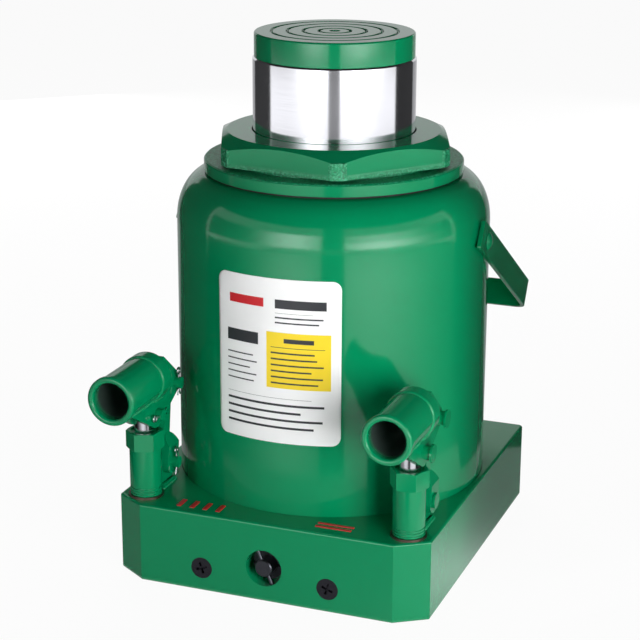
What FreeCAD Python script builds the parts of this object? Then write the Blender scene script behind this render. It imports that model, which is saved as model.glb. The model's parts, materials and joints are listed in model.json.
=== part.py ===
import FreeCAD, Part
import math
import os

V = FreeCAD.Vector
X_AXIS = V(1, 0, 0)
Y_AXIS = V(0, 1, 0)
Z_AXIS = V(0, 0, 1)

# Twin-pump hydraulic bottle jack, millimetres. Z is up, the front face looks along -Y,
# and the origin is on the tank's axis at the floor.

# Clearances
running = 0.05            # radial, a shaft or pin that turns or slides in its hole
side_gap = 0.3            # between flat faces of pieces that move past each other
seal_gap = 0.03           # radial, a seal against the face that slides on it
ball_gap = 0.2            # radial, a valve ball in its bore
past = 5.0                # how far a through cut reaches past the piece it cuts

# Main cylinder
cylinder_bore = 70.0
cylinder_wall = 16.0
cylinder_radius = cylinder_bore + cylinder_wall
cylinder_thread_radius = cylinder_bore + 5.0
foot_ring_thickness = 2.0
foot_ring_width = 8.0
chamber_floor = 28.0      # height of the pressure chamber's floor

# Oil tank
oil_gap = 17.1            # between the cylinder and the tank's wall
tank_wall = 4.0
tank_radius = cylinder_radius + oil_gap + tank_wall
tank_mouth_radius = cylinder_thread_radius + 4.0
tank_lip = 7.1            # flat ring round the mouth
tank_seat_depth = 3.0     # groove in the base that takes the tank's rim
tank_seat_gap = 0.3
tank_seal_thickness = 1.5
tank_straight = 178.7     # height of the straight wall above the base
shoulder_rise = 31.7
shoulder_inset = tank_radius - tank_mouth_radius - tank_lip

# Base block
base_half_width = tank_radius + 3.6
base_front = tank_radius + 20.6
base_back = tank_radius + 6.8
base_height = 55.3
corner_cut_x = 21.0       # the cut front corners, along X
corner_cut_y = 14.0       # and along Y
back_corner_radius = 3.5
edge_round = 1.5

# Heights of the tank's shoulder and of what stands on it
shoulder_start = base_height + tank_straight
shoulder_top = shoulder_start + shoulder_rise
cylinder_top = shoulder_top - 7.7
flange_seal_thickness = 1.5

# Top nut
flange_radius = tank_mouth_radius + 9.3
flange_seal_edge = 0.6    # how far the seal stays inside the lip's edge
flange_bottom = shoulder_top + flange_seal_thickness
flange_thickness = 8.1
flange_top = flange_bottom + flange_thickness
flange_round = 1.2
head_foot = 1.7           # height of the turned neck between the flange and the hexagon
head_height = 17.2        # height of the hexagon
nut_top = flange_top + head_foot + head_height
nut_across_flats = 151.0
nut_neck_radius = 73.5
nut_corner_radius = 85.0  # the hexagon's corners are turned to this radius
nut_face_radius = 72.5    # the flat ring on top, inside the chamfer
nut_chamfer_deg = 25.0
nut_turn_deg = -67.9      # direction of one corner
nut_bore_gap = 0.7        # radial, nut bore round the ram
nut_skirt_bottom = cylinder_top - 11.0

# Guide bush and wiper in the nut
bush_wall = 4.0
bush_top = nut_top - 18.2
wiper_bottom = nut_top - 11.2
wiper_height = 7.0
wiper_depth = 5.0
wiper_crown = 2.2         # width of the wiper's flat top
wiper_lip = 0.5           # width of its lip beside the ram
wiper_lip_drop = 0.4
wiper_lip_round = 1.2

# Ram, piston and saddle
ram_radius = cylinder_bore - 15.0
ram_closed_stand = 24.2   # how far the ram stands out when it is right down
ram_raised = 25.0         # how far it is raised at rest
ram_top = nut_top + ram_closed_stand + ram_raised
ram_chamfer = 1.0
piston_height = 38.0
piston_floor_gap = 0.5
piston_chamfer = 1.5
piston_spigot_radius = 30.0
piston_spigot_length = 28.0
cup_seal_offset = 4.0     # from the piston's underside
cup_seal_height = 10.0
cup_seal_depth = 9.0
cup_lip_width = 2.2
cup_hollow_height = 5.5
guide_ring_offset = 22.5
guide_ring_height = 10.0
guide_ring_depth = 4.5
saddle_radius = ram_radius - 1.0
saddle_height = 16.5
saddle_chamfer = 0.8
saddle_spigot_radius = 16.0
saddle_spigot_length = 18.0
saddle_ring_count = 4
saddle_ring_pitch = 10.6
saddle_groove_width = 2.4
saddle_groove_depth = 1.5
saddle_dimple_radius = 3.5

# Hand pumps, one on each side
pump_x = tank_radius - 13.4
pump_y = -tank_radius - 1.9
pump_radius = 10.75
pump_washer_radius = 12.0
pump_washer_thickness = 1.5
pump_spigot_radius = 10.0
pump_spigot_length = 25.0
pump_shoulder = base_height + 34.2  # height of the shoulder under the gland nut
pump_neck_radius = 9.6
pump_neck_top = base_height + 41.7
pump_ring_count = 3
pump_ring_start = 1.4     # from the washer to the first turned ring
pump_ring_pitch = 1.9
pump_ring_width = 0.8
pump_ring_depth = 0.6
pump_inlet_radius = 3.0
packing_radius = 8.4
packing_height = 5.0
gland_across_flats = 22.5
gland_top = base_height + 46.7
gland_edge_radius = 11.6
gland_edge_drop = 1.3
gland_recess_radius = 9.4
gland_recess_depth = 1.2
gland_turn_deg = {1: -53.6, -1: -38.4}

# Pump plunger
plunger_radius = 7.0
plunger_start = 12.0      # from the spigot's foot to the plunger's foot
plunger_bottom_gap = 2.0
plunger_flat_start = base_height + 48.1
tongue_half = 5.2         # half the thickness of the flattened head

# Linkage pivots in the pump's side plane, as (y, z)
plunger_pivot = (pump_y, base_height + 58.7)
link_pivot = (pump_y + 29.0, base_height + 72.1)
foot_pivot = (pump_y + 22.0, base_height + 17.2)
pin_radius = 4.0

# Handle socket
tube_radius = 15.6
tube_bore = 12.4
tube_axis_z = base_height + 82.5
tube_mouth_y = pump_y - 49.0
tube_rear_y = pump_y + 9.0
tube_floor = 8.0          # closed wall at the rear
mouth_radius = 16.6       # the rolled rim at the tube's mouth
mouth_width = 4.0
mouth_round = 1.9
collar_radius = 16.7      # the thicker ring at the tube's rear
collar_width = 12.5
collar_round = 1.5
cheek_inner = 5.5
cheek_thickness = 4.0
cheek_boss_radius = 9.2
cheek_ear_radius = 7.5
cheek_front = (pump_y - 44.0, base_height + 73.2)
cheek_top = (pump_y + 12.0, base_height + 95.7)

# Pins and split pins
spool_neck_radius = 4.7
spool_neck_length = 4.8
spool_head_radius = 6.0
spool_head_thickness = 1.6
foot_head_radius = 5.2
pin_tail = 4.6            # how far a pin stands out at its split pin end
split_pin_radius = 0.85
split_pin_length = 13.0
split_pin_ring_radius = 2.0
split_pin_leg = 5.2
split_leg_splay_deg = 22.0

# Connecting link and foot lug
eye_radius = 7.2
eye_slot = 2.2            # room for the open pivot, towards the rear
eye_gap = 0.3             # radial, the link pin in that slot
waist_radius = 4.6
waist_half = 4.5
fork_half = 10.0
fork_radius = 8.5
fork_shoulder = 11.5      # from the foot pivot to where the fork starts to narrow
fork_height = 19.5        # from the foot pivot to where the waist starts
fork_crown_radius = 7.5
fork_slot_room = 0.5      # between the lug's crown and the fork's slot
lug_half = 4.7
lug_radius = 7.7
lug_foot_half = 9.5
lug_flange_half = 7.0
lug_flange_height = 2.8
lug_stud_radius = 4.0
lug_stud_length = 12.0

# Release valve in the front face
valve_z = 23.7
valve_recess_radius = 12.75
valve_recess_depth = 14.0
valve_stem_radius = 6.0
valve_stem_chamfer = 0.7
valve_proud = 0.8
valve_stem_length = 30.0
valve_tip_length = 5.0
valve_tip_root = 4.5      # radius where the pointed tip starts
valve_tip_end = 1.0
valve_gland_radius = 11.0
valve_gland_thickness = 5.0
valve_gland_slot_width = 2.4
valve_gland_slot_depth = 1.6
valve_pin_radius = 1.4
valve_pin_half = 12.2
valve_pin_depth = 3.2
valve_pin_turn_deg = 24.0
release_ball_radius = 3.5
valve_passage_radius = 2.5
valve_passage_end = -58.0

# Front plugs
plug_x = 44.8
plug_z = 16.5
plug_head_radius = 7.5
plug_head_depth = 3.0
plug_shank_radius = 5.0
plug_length = 15.0
plug_recess_span = 8.0
plug_recess_width = 1.7
plug_recess_depth = 2.4
plug_turn_deg = 20.0

# Oil passages
delivery_end = -45.0
delivery_rise_radius = 3.0
rise_inset = 4.0          # from a passage's blind end to the riser's axis
feed_radius = 2.5
check_ball_radius = 4.6
check_ball_y = -92.0
suction_ring = (cylinder_radius + tank_radius) / 2
suction_x = pump_x * suction_ring / math.hypot(pump_x, pump_y)
suction_y = pump_y * suction_ring / math.hypot(pump_x, pump_y)
suction_z = 20.0
strainer_radius = 6.0
strainer_height = 3.0
strainer_wall = 1.2
strainer_crown = 1.0

# Oil filler plug on the back of the tank
filler_z = shoulder_start - 28.0
filler_radius = 7.0
filler_head_radius = 10.0
filler_head_height = 4.5
filler_head_round = 1.2
filler_inner_length = 5.0

# Carrying bail: its pivots lie on the tank's diameter
bail_clear = 0.5          # between the strap and the tank
bail_z = shoulder_start - 8.1
bail_inner_half = tank_radius + bail_clear
bail_thickness = 2.9
bail_width = 19.5
bail_tail = 16.0          # from the pivot to the strap's end
bail_bend = 6.0
bail_rest_deg = 31.2      # below level
bail_lean = math.radians(bail_rest_deg)
bail_reach = (bail_inner_half + bail_width / 2 * math.sin(bail_lean)) / math.cos(bail_lean)
bail_end_round = 1.2
bail_pin_radius = 4.0
bail_boss_radius = 7.5
bail_boss_depth = 3.0     # how far the boss is let into the tank's wall before it is cut to it
bail_head_radius = 6.2
bail_head_height = 2.4


def cylinder(radius, start, axis, length):
    """A solid cylinder from a start point along an axis."""
    return Part.makeCylinder(radius, length, start, axis)


def upright(radius, z0, z1, x=0.0, y=0.0):
    """A solid cylinder along Z."""
    return cylinder(radius, V(x, y, z0), Z_AXIS, z1 - z0)


def tube(outer, inner, z0, z1, x=0.0, y=0.0):
    """A ring or sleeve along Z."""
    return upright(outer, z0, z1, x, y).cut(upright(inner, z0 - past, z1 + past, x, y))


def across(radius, x0, x1, pivot):
    """A solid cylinder along X, between two x values, through a (y, z) pivot."""
    low = min(x0, x1)
    return cylinder(radius, V(low, pivot[0], pivot[1]), X_AXIS, abs(x1 - x0))


def inward(radius, x, z, y0, y1):
    """A solid cylinder along +Y."""
    return cylinder(radius, V(x, y0, z), Y_AXIS, y1 - y0)


def box(x0, x1, y0, y1, z0, z1):
    return Part.makeBox(x1 - x0, y1 - y0, z1 - z0, V(x0, y0, z0))


def turned(points):
    """Revolves a closed outline of (radius, z) points about Z."""
    corners = [V(r, 0, z) for r, z in points]
    wire = Part.makePolygon(corners + [corners[0]])
    return Part.Face(wire).revolve(V(0, 0, 0), Z_AXIS, 360)


def hexagon(across_flats, z0, z1, turn_deg, x=0.0, y=0.0):
    """A hexagonal prism with one corner in the given direction."""
    corner = across_flats / math.sqrt(3)
    points = []
    for k in range(7):
        angle = math.radians(turn_deg + 60 * k)
        points.append(V(x + corner * math.cos(angle), y + corner * math.sin(angle), z0))
    return Part.Face(Part.makePolygon(points)).extrude(V(0, 0, z1 - z0))


def rounded_plate(circles, x0, x1):
    """A plate whose side outline wraps the given (y, z, radius) circles, counterclockwise."""
    count = len(circles)
    leave = []
    arrive = []
    for k in range(count):
        y1, z1, r1 = circles[k]
        y2, z2, r2 = circles[(k + 1) % count]
        span = math.hypot(y2 - y1, z2 - z1)
        dy = (y2 - y1) / span
        dz = (z2 - z1) / span
        lean = (r1 - r2) / span
        stand = math.sqrt(1 - lean * lean)
        ny = dy * lean + dz * stand
        nz = dz * lean - dy * stand
        leave.append((y1 + r1 * ny, z1 + r1 * nz, math.atan2(nz, ny)))
        arrive.append((y2 + r2 * ny, z2 + r2 * nz, math.atan2(nz, ny)))
    edges = []
    for k in range(count):
        y, z, r = circles[k]
        into = arrive[k - 1]
        out = leave[k]
        if r > 0:
            sweep = (out[2] - into[2]) % (2 * math.pi)
            middle = into[2] + sweep / 2
            through = V(x0, y + r * math.cos(middle), z + r * math.sin(middle))
            arc = Part.Arc(V(x0, into[0], into[1]), through, V(x0, out[0], out[1]))
            edges.append(arc.toShape())
        next_in = arrive[k]
        edges.append(Part.makeLine(V(x0, out[0], out[1]), V(x0, next_in[0], next_in[1])))
    return Part.Face(Part.Wire(edges)).extrude(V(x1 - x0, 0, 0))


def plug_countersink(x):
    """The shape of a front plug's head and shank, also cut from the base."""
    front = -base_front
    cone = Part.makeCone(plug_head_radius, plug_shank_radius, plug_head_depth, V(x, front, plug_z), Y_AXIS)
    return cone.fuse(inward(plug_shank_radius, x, plug_z, front + plug_head_depth, front + plug_length))


def oil_passages():
    """Everything drilled in the base for one side's oil, for both sides."""
    cuts = []
    for side in (1, -1):
        x = side * pump_x
        px = side * plug_x
        sx = side * suction_x
        cuts.append(plug_countersink(px))
        cuts.append(inward(plug_shank_radius, px, plug_z, -base_front + plug_length - 1, delivery_end))
        cuts.append(upright(delivery_rise_radius, plug_z, chamber_floor + 1, px, delivery_end - rise_inset))
        cuts.append(upright(pump_inlet_radius, plug_z, base_height, x, pump_y))
        feed_start = min(x, px)
        cuts.append(cylinder(feed_radius, V(feed_start, pump_y, plug_z), X_AXIS, abs(x - px)))
        run = V(x - sx, pump_y - suction_y, 0)
        cuts.append(upright(feed_radius, suction_z, base_height + 1, sx, suction_y))
        cuts.append(cylinder(feed_radius, V(sx, suction_y, suction_z), run, run.Length))
    return cuts


def base_block():
    """Steel block with the chamber recess, the tank's seat, the pump wells and the oil passages."""
    w = base_half_width
    f = -base_front
    cx = w - corner_cut_x
    cy = f + corner_cut_y
    b = base_back
    points = [V(-cx, f, 0), V(cx, f, 0), V(w, cy, 0), V(w, b, 0), V(-w, b, 0), V(-w, cy, 0)]
    block = Part.Face(Part.makePolygon(points + [points[0]])).extrude(V(0, 0, base_height))
    back_edges = []
    for edge in block.Edges:
        middle = edge.CenterOfMass
        if abs(middle.y - b) < 0.01 and abs(abs(middle.x) - w) < 0.01:
            back_edges.append(edge)
    block = block.makeFillet(back_corner_radius, back_edges)
    rims = []
    for edge in block.Edges:
        box_z = edge.BoundBox
        if box_z.ZLength < 0.01:
            rims.append(edge)
    block = block.makeFillet(edge_round, rims)
    cuts = oil_passages()
    cuts.append(upright(cylinder_radius, chamber_floor, base_height + 1))
    seat_outer = tank_radius + tank_seat_gap
    seat_inner = tank_radius - tank_wall - tank_seat_gap
    cuts.append(tube(seat_outer, seat_inner, base_height - tank_seat_depth, base_height + 1))
    for side in (1, -1):
        x = side * pump_x
        cuts.append(upright(pump_spigot_radius, base_height - pump_spigot_length, base_height + 1, x, pump_y))
        stud_bottom = base_height - lug_stud_length
        cuts.append(upright(lug_stud_radius, stud_bottom, base_height + 1, x, foot_pivot[0]))
    recess_end = f + valve_recess_depth
    cuts.append(inward(valve_recess_radius, 0, valve_z, f - 1, recess_end))
    thread_end = f - valve_proud + valve_stem_length
    rise_y = valve_passage_end - valve_passage_radius
    cuts.append(inward(valve_stem_radius + running, 0, valve_z, recess_end - 1, thread_end + 1))
    seat = math.sqrt(release_ball_radius ** 2 - valve_passage_radius ** 2) + running
    cuts.append(inward(release_ball_radius + ball_gap, 0, valve_z, thread_end, release_ball_y() + seat))
    cuts.append(inward(valve_passage_radius, 0, valve_z, release_ball_y(), valve_passage_end))
    cuts.append(upright(valve_passage_radius, valve_z, chamber_floor + 1, 0, rise_y))
    return block.cut(cuts)


def reservoir_shell():
    """Drawn tank: straight wall, elliptical shoulder, flat lip round the mouth and a filler hole."""
    rim = base_height - tank_seat_depth + tank_seal_thickness
    top = shoulder_top
    lip = tank_mouth_radius + tank_lip

    def shoulder(radius, inset, rise):
        centre = V(radius - inset, 0, shoulder_start)
        crown = V(radius - inset, 0, shoulder_start + rise)
        side = V(radius, 0, shoulder_start)
        if rise > inset:
            ellipse = Part.Ellipse(crown, side, centre)
        else:
            ellipse = Part.Ellipse(side, crown, centre)
        return Part.ArcOfEllipse(ellipse, 0, math.pi / 2).toShape()

    inner = tank_radius - tank_wall
    wall = tank_wall
    edges = [
        Part.makeLine(V(tank_radius, 0, rim), V(tank_radius, 0, shoulder_start)),
        shoulder(tank_radius, shoulder_inset, shoulder_rise),
        Part.makeLine(V(lip, 0, top), V(tank_mouth_radius, 0, top)),
        Part.makeLine(V(tank_mouth_radius, 0, top), V(tank_mouth_radius, 0, top - wall)),
        Part.makeLine(V(tank_mouth_radius, 0, top - wall), V(lip, 0, top - wall)),
        shoulder(inner, shoulder_inset - wall, shoulder_rise - wall),
        Part.makeLine(V(inner, 0, shoulder_start), V(inner, 0, rim)),
        Part.makeLine(V(inner, 0, rim), V(tank_radius, 0, rim)),
    ]
    wire = Part.Wire(Part.sortEdges(edges)[0])
    shell = Part.Face(wire).revolve(V(0, 0, 0), Z_AXIS, 360)
    return shell.cut(inward(filler_radius, 0, filler_z, inner - past, tank_radius + past))


def reservoir_base_seal():
    bottom = base_height - tank_seat_depth
    return tube(tank_radius, tank_radius - tank_wall, bottom, bottom + tank_seal_thickness)


def reservoir_top_seal():
    """Flat seal between the tank's lip and the nut's flange."""
    outer = tank_mouth_radius + tank_lip - flange_seal_edge
    return tube(outer, tank_mouth_radius, shoulder_top, flange_bottom)


def main_cylinder():
    """Honed cylinder that stands in the base, with a wider bore at the top for the nut's skirt."""
    sleeve = tube(cylinder_radius, cylinder_bore, chamber_floor + foot_ring_thickness, cylinder_top)
    return sleeve.cut(upright(cylinder_thread_radius, nut_skirt_bottom, cylinder_top + 1))


def cylinder_foot_ring():
    inner = cylinder_radius - foot_ring_width
    return tube(cylinder_radius, inner, chamber_floor, chamber_floor + foot_ring_thickness)


def top_nut():
    """Flanged nut: skirt in the cylinder, flange on the tank, turned neck, hexagon with turned corners."""
    skirt = upright(cylinder_thread_radius, nut_skirt_bottom, cylinder_top)
    collar = upright(tank_mouth_radius, cylinder_top, flange_bottom)
    flange = turned([
        (0, flange_bottom),
        (flange_radius, flange_bottom),
        (flange_radius, flange_top - flange_round),
        (flange_radius - flange_round, flange_top),
        (0, flange_top),
    ])
    head_bottom = flange_top + head_foot
    neck = upright(nut_neck_radius, flange_top, head_bottom)
    drop = (nut_corner_radius - nut_face_radius) * math.tan(math.radians(nut_chamfer_deg))
    blank = turned([
        (0, head_bottom),
        (nut_corner_radius, head_bottom),
        (nut_corner_radius, nut_top - drop),
        (nut_face_radius, nut_top),
        (0, nut_top),
    ])
    head = blank.common(hexagon(nut_across_flats, head_bottom, nut_top, nut_turn_deg))
    nut = skirt.fuse([collar, flange, neck, head])
    bore = upright(ram_radius + nut_bore_gap, nut_skirt_bottom - 1, nut_top + 1)
    bush_seat = upright(ram_radius + bush_wall, nut_skirt_bottom - 1, bush_top)
    wiper_seat = upright(ram_radius + wiper_depth, wiper_bottom, wiper_bottom + wiper_height)
    return nut.cut([bore, bush_seat, wiper_seat])


def guide_bush():
    return tube(ram_radius + bush_wall, ram_radius + running, nut_skirt_bottom, bush_top)


def wiper_ring():
    """Dust wiper with a lip that leans up to the ram."""
    inner = ram_radius + seal_gap
    outer = ram_radius + wiper_depth
    top = wiper_bottom + wiper_height
    return turned([
        (inner, wiper_bottom),
        (outer, wiper_bottom),
        (outer, top),
        (outer - wiper_crown, top),
        (inner + wiper_lip, top - wiper_lip_drop),
        (inner, top - wiper_lip_round),
    ])


def piston_bottom():
    return chamber_floor + piston_floor_gap + ram_raised


def ram():
    """Chromed ram with a spigot for the piston and a socket for the saddle."""
    bottom = piston_bottom() + piston_height
    rod = turned([
        (0, bottom),
        (ram_radius, bottom),
        (ram_radius, ram_top - ram_chamfer),
        (ram_radius - ram_chamfer, ram_top),
        (0, ram_top),
    ])
    spigot = upright(piston_spigot_radius, bottom - piston_spigot_length, bottom)
    socket = upright(saddle_spigot_radius, ram_top - saddle_spigot_length - 1, ram_top + 1)
    return rod.fuse(spigot).cut(socket)


def piston():
    bottom = piston_bottom()
    radius = cylinder_bore - running
    top = bottom + piston_height
    body = turned([
        (0, bottom),
        (radius - piston_chamfer, bottom),
        (radius, bottom + piston_chamfer),
        (radius, top - piston_chamfer),
        (radius - piston_chamfer, top),
        (0, top),
    ])
    pocket = upright(piston_spigot_radius, top - piston_spigot_length, top + 1)
    cup = tube(radius + 1, radius - cup_seal_depth, bottom + cup_seal_offset,
               bottom + cup_seal_offset + cup_seal_height)
    guide = tube(radius + 1, radius - guide_ring_depth, bottom + guide_ring_offset,
                 bottom + guide_ring_offset + guide_ring_height)
    return body.cut([pocket, cup, guide])


def piston_cup_seal():
    """Cup seal whose open side faces the oil below."""
    bottom = piston_bottom() + cup_seal_offset
    top = bottom + cup_seal_height
    inner = cylinder_bore - running - cup_seal_depth
    outer = cylinder_bore - seal_gap
    middle = (inner + outer) / 2
    return turned([
        (inner, bottom),
        (inner + cup_lip_width, bottom),
        (middle, bottom + cup_hollow_height),
        (outer - cup_lip_width, bottom),
        (outer, bottom),
        (outer, top),
        (inner, top),
    ])


def piston_guide_ring():
    bottom = piston_bottom() + guide_ring_offset
    inner = cylinder_bore - running - guide_ring_depth
    return tube(cylinder_bore - seal_gap, inner, bottom, bottom + guide_ring_height)


def saddle():
    """Cap on the ram with concentric grooves and a centre mark on top."""
    top = ram_top + saddle_height
    cap = turned([
        (0, ram_top),
        (saddle_radius, ram_top),
        (saddle_radius, top - saddle_chamfer),
        (saddle_radius - saddle_chamfer, top),
        (0, top),
    ])
    spigot = upright(saddle_spigot_radius, ram_top - saddle_spigot_length, ram_top)
    cuts = [upright(saddle_dimple_radius, top - saddle_groove_depth, top + 1)]
    for k in range(saddle_ring_count):
        middle = saddle_ring_pitch * (k + 1)
        half = saddle_groove_width / 2
        cuts.append(turned([
            (middle - half, top + saddle_groove_depth / 3),
            (middle - half / 2, top - saddle_groove_depth),
            (middle + half / 2, top - saddle_groove_depth),
            (middle + half, top + saddle_groove_depth / 3),
        ]))
    return cap.fuse(spigot).cut(cuts)


def pump_body(side):
    """Pump barrel screwed into the base, with turned rings at its foot."""
    x = side * pump_x
    foot = base_height + pump_washer_thickness
    barrel = upright(pump_radius, foot, pump_shoulder, x, pump_y)
    neck = upright(pump_neck_radius, pump_shoulder, pump_neck_top, x, pump_y)
    spigot = upright(pump_spigot_radius, base_height - pump_spigot_length, foot, x, pump_y)
    body = barrel.fuse([neck, spigot])
    bore_bottom = plunger_bottom() - plunger_bottom_gap
    cuts = [
        upright(plunger_radius + running, bore_bottom, pump_neck_top + 1, x, pump_y),
        upright(pump_inlet_radius, base_height - pump_spigot_length - 1, bore_bottom, x, pump_y),
        upright(packing_radius, pump_neck_top - packing_height, pump_neck_top + 1, x, pump_y),
    ]
    for k in range(pump_ring_count):
        low = foot + pump_ring_start + k * pump_ring_pitch
        ring = tube(pump_radius + 1, pump_radius - pump_ring_depth, low, low + pump_ring_width, x, pump_y)
        cuts.append(ring)
    return body.cut(cuts)


def pump_washer(side):
    x = side * pump_x
    top = base_height + pump_washer_thickness
    return tube(pump_washer_radius, pump_spigot_radius, base_height, top, x, pump_y)


def plunger_packing(side):
    x = side * pump_x
    inner = plunger_radius + seal_gap
    return tube(packing_radius, inner, pump_neck_top - packing_height, pump_neck_top, x, pump_y)


def gland_nut(side):
    """Hexagon nut over the barrel's neck, chamfered at both ends, with a shallow recess on top."""
    x = side * pump_x
    corner = gland_across_flats / math.sqrt(3) + gland_edge_drop
    blank = turned([
        (0, pump_shoulder),
        (gland_edge_radius, pump_shoulder),
        (corner, pump_shoulder + gland_edge_drop),
        (corner, gland_top - gland_edge_drop),
        (gland_edge_radius, gland_top),
        (0, gland_top),
    ])
    blank.translate(V(x, pump_y, 0))
    prism = hexagon(gland_across_flats, pump_shoulder, gland_top, gland_turn_deg[side], x, pump_y)
    nut = blank.common(prism)
    return nut.cut([
        upright(pump_neck_radius, pump_shoulder - 1, pump_neck_top, x, pump_y),
        upright(plunger_radius + running, pump_shoulder, gland_top + 1, x, pump_y),
        upright(gland_recess_radius, gland_top - gland_recess_depth, gland_top + 1, x, pump_y),
    ])


def plunger_bottom():
    return base_height - pump_spigot_length + plunger_start


def plunger(side):
    """Polished plunger, flattened at the head and drilled for its pin."""
    x = side * pump_x
    y, z = plunger_pivot
    round_part = upright(plunger_radius, plunger_bottom(), plunger_flat_start, x, pump_y)
    head = upright(plunger_radius, plunger_flat_start, z, x, pump_y)
    head = head.fuse(across(plunger_radius, x - tongue_half, x + tongue_half, plunger_pivot))
    room = plunger_radius + past
    head = head.common(box(x - tongue_half, x + tongue_half, y - room, y + room, plunger_flat_start, z + room))
    eye = across(pin_radius + running, x - room, x + room, plunger_pivot)
    return round_part.fuse(head).cut(eye)


def cheek_outer():
    return cheek_inner + cheek_thickness


def mouth_rim(x):
    """The rolled rim at the mouth of a handle tube, rounded on both sides of its front."""
    z = tube_axis_z
    back = tube_mouth_y + mouth_width
    ring = inward(mouth_radius, x, z, tube_mouth_y, back).cut(inward(tube_bore, x, z, tube_mouth_y - 1, back + 1))
    front = []
    for edge in ring.Edges:
        if edge.BoundBox.YLength < 0.01 and abs(edge.CenterOfMass.y - tube_mouth_y) < 0.01:
            front.append(edge)
    return ring.makeFillet(mouth_round, front)


def handle_socket(side):
    """Tube for the handle with a rolled mouth, a rear collar and two cheek plates, welded as one."""
    x = side * pump_x
    z = tube_axis_z
    barrel = inward(tube_radius, x, z, tube_mouth_y + mouth_width / 2, tube_rear_y)
    collar = inward(collar_radius, x, z, tube_rear_y - collar_width, tube_rear_y)
    collar = collar.makeFillet(collar_round, [e for e in collar.Edges if e.BoundBox.YLength < 0.01])
    outline = [
        (cheek_front[0], cheek_front[1], 0.0),
        (plunger_pivot[0], plunger_pivot[1], cheek_boss_radius),
        (link_pivot[0], link_pivot[1], cheek_ear_radius),
        (cheek_top[0], cheek_top[1], 0.0),
    ]
    cheeks = []
    for hand in (1, -1):
        inner = x + hand * cheek_inner
        outer = x + hand * cheek_outer()
        cheeks.append(rounded_plate(outline, min(inner, outer), max(inner, outer)))
    reach = cheek_outer() + past
    bore = inward(tube_bore, x, z, tube_mouth_y - 1, tube_rear_y - tube_floor)
    return barrel.fuse([collar] + cheeks).cut([
        bore,
        across(pin_radius, x - reach, x + reach, plunger_pivot),
        across(pin_radius, x - reach, x + reach, link_pivot),
    ]).fuse(mouth_rim(x))


def spool_pin(side, pivot):
    """Pin with a spool head on the outward side and a cross hole at the other end."""
    x = side * pump_x
    face = x + side * cheek_outer()
    tail = x - side * (cheek_outer() + pin_tail)
    neck_end = face + side * spool_neck_length
    head_end = neck_end + side * spool_head_thickness
    shank = across(pin_radius, tail, face, pivot)
    neck = across(spool_neck_radius, face, neck_end, pivot)
    head = across(spool_head_radius, neck_end, head_end, pivot)
    return shank.fuse([neck, head])


def foot_pin(side):
    x = side * pump_x
    face = x + side * (fork_half + side_gap)
    tail = x - side * (fork_half + pin_tail)
    head_end = face + side * spool_head_thickness
    shank = across(pin_radius, tail, face, foot_pivot)
    return shank.fuse(across(foot_head_radius, face, head_end, foot_pivot))


def split_pin_x(side, plate_half):
    """Where a split pin crosses its pin."""
    return side * (pump_x - plate_half - pin_tail / 2 - 0.2)


def split_pin(x, pivot, along):
    """Split pin: ring, doubled shank and two splayed legs, along the given direction."""
    r = split_pin_radius
    half = split_pin_length / 2
    ring = Part.makeTorus(split_pin_ring_radius, r * 0.8, V(0, 0, half + split_pin_ring_radius), X_AXIS)
    leg_root = V(0, 0, split_pin_leg / 2 - half)
    shank = cylinder(r, leg_root, Z_AXIS, half - leg_root.z + 0.5)
    leg_a = cylinder(r * 0.6, leg_root, Z_AXIS, split_pin_leg)
    leg_a.rotate(leg_root, X_AXIS, 180 - split_leg_splay_deg)
    leg_b = leg_a.copy()
    leg_b.rotate(V(0, 0, 0), Z_AXIS, 180)
    pin = shank.fuse([ring, leg_a, leg_b])
    if along == "y":
        pin.rotate(V(0, 0, 0), X_AXIS, 90)
    pin.translate(V(x, pivot[0], pivot[1]))
    return pin


def cross_hole(x, pivot, along):
    reach = pin_radius + 1
    if along == "y":
        return inward(split_pin_radius + 0.1, x, pivot[1], pivot[0] - reach, pivot[0] + reach)
    return upright(split_pin_radius + 0.1, pivot[1] - reach, pivot[1] + reach, x, pivot[0])


def plunger_pin(side):
    x = split_pin_x(side, cheek_outer())
    return spool_pin(side, plunger_pivot).cut(cross_hole(x, plunger_pivot, "y"))


def link_pin(side):
    x = split_pin_x(side, cheek_outer())
    return spool_pin(side, link_pivot).cut(cross_hole(x, link_pivot, "z"))


def foot_pin_drilled(side):
    x = split_pin_x(side, fork_half)
    return foot_pin(side).cut(cross_hole(x, foot_pivot, "z"))


def socket_split_pins(side):
    x = split_pin_x(side, cheek_outer())
    return Part.Compound([split_pin(x, plunger_pivot, "y"), split_pin(x, link_pivot, "z")])


def foot_split_pin(side):
    return split_pin(split_pin_x(side, fork_half), foot_pivot, "z")


def fork_front(x):
    """The fork's outline seen from the front: straight sides, then shoulders that slope in to the waist."""
    ly, lz = foot_pivot
    low = lz - fork_radius
    shoulder = lz + fork_shoulder
    top = lz + fork_height
    points = [
        V(x - fork_half, ly - fork_half - past, low),
        V(x + fork_half, ly - fork_half - past, low),
        V(x + fork_half, ly - fork_half - past, shoulder),
        V(x + waist_half, ly - fork_half - past, top),
        V(x - waist_half, ly - fork_half - past, top),
        V(x - fork_half, ly - fork_half - past, shoulder),
    ]
    return Part.Face(Part.makePolygon(points + [points[0]])).extrude(V(0, 2 * (fork_half + past), 0))


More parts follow.
